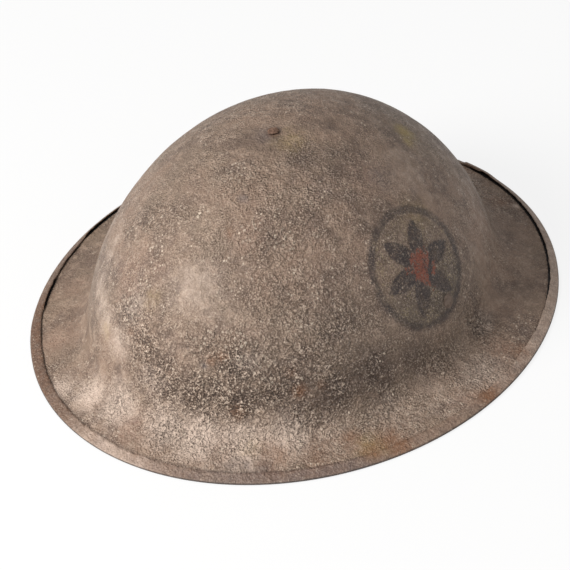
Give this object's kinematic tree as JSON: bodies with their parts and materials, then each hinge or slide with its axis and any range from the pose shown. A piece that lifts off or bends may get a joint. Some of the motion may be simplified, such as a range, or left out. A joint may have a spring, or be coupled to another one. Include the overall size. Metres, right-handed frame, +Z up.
{
  "type": "steel helmet",
  "caption": "Wide-brimmed pressed steel helmet with a folded rim strip, a laced net liner on rubber buffers and a two-part leather chin strap on wire bails.",
  "frame": {"origin": "centre of the base, on the plane that the rim stands on", "axes": "+Z up; the wearer faces -Y; the wearer's left is +X"},
  "size_m": [0.29, 0.311, 0.1174],
  "materials": {
    "painted_shell": "rough sanded, worn brown drab paint",
    "painted_rim": "worn brown drab paint with rust",
    "rusty_rivet": "rusted",
    "liner_steel": "dull",
    "black_leather": "worn",
    "felt": "matt felt",
    "oilcloth": "cracked black oilcloth",
    "rubber": "aged red-brown rubber",
    "cotton_twine": "knotted twine",
    "cotton_lace": "braided cotton",
    "painted_steel": "worn brown drab paint",
    "wire": "dull, lightly rusted",
    "strap_leather": "worn russet leather",
    "brass": "tarnished",
    "buckle_metal": "tarnished, worn dark"
  },
  "bodies": {
    "root": {"shell": "painted_shell", "rim_strip": "painted_rim", "crown_rivet": "rusty_rivet", "crown_washer": "liner_steel", "crown_cross": "black_leather", "felt_pad": "felt", "outer_band": "oilcloth", "cross_rivets": "liner_steel", "rubber_buffer_01": "rubber", "rubber_buffer_02": "rubber", "rubber_buffer_03": "rubber", "rubber_buffer_04": "rubber", "rubber_buffer_05": "rubber", "rubber_buffer_06": "rubber", "rubber_buffer_07": "rubber", "rubber_buffer_08": "rubber", "rubber_buffer_09": "rubber", "rubber_buffer_10": "rubber", "rubber_buffer_11": "rubber", "rubber_buffer_12": "rubber", "buffer_rivets": "liner_steel", "inner_band": "oilcloth", "head_net": "cotton_twine", "net_lace": "cotton_lace", "clip_left": "painted_steel", "clip_right": "painted_steel", "clip_rivet_left": "painted_steel", "clip_rivet_right": "painted_steel"},
    "left_bail": {"bail_left": "wire"},
    "right_bail": {"bail_right": "wire"},
    "short_strap": {"strap_short": "strap_leather", "strap_rivets_short": "brass"},
    "long_strap": {"strap_long": "strap_leather", "strap_rivets_long": "brass"},
    "buckle": {"buckle_frame": "buckle_metal"},
    "buckle_slider": {"buckle_bar": "buckle_metal"}
  },
  "joints": [
    {"name": "bail_left_swing", "type": "hinge", "parent": "root", "child": "left_bail", "pos_m": [0.10174, 0, 0.02711], "axis": [0, 1, 0], "range_deg": [-10, 30]},
    {"name": "bail_right_swing", "type": "hinge", "parent": "root", "child": "right_bail", "pos_m": [-0.10174, 0, 0.02711], "axis": [0, -1, 0], "range_deg": [-10, 30]},
    {"name": "strap_short_swing", "type": "hinge", "parent": "left_bail", "child": "short_strap", "pos_m": [0.10174, 0, 0.01011], "axis": [0, 1, 0], "range_deg": [-100, 8]},
    {"name": "strap_long_swing", "type": "hinge", "parent": "right_bail", "child": "long_strap", "pos_m": [-0.10174, 0, 0.01011], "axis": [0, -1, 0], "range_deg": [-100, 8]},
    {"name": "buckle_swing", "type": "hinge", "parent": "short_strap", "child": "buckle", "pos_m": [0.04374, 0, 0.00348], "axis": [0, 1, 0], "range_deg": [-60, 90]},
    {"name": "buckle_bar_slide", "type": "slide", "parent": "buckle", "child": "buckle_slider", "axis": [-1, 0, 0], "range_m": [0, 0.006]}
  ]
}
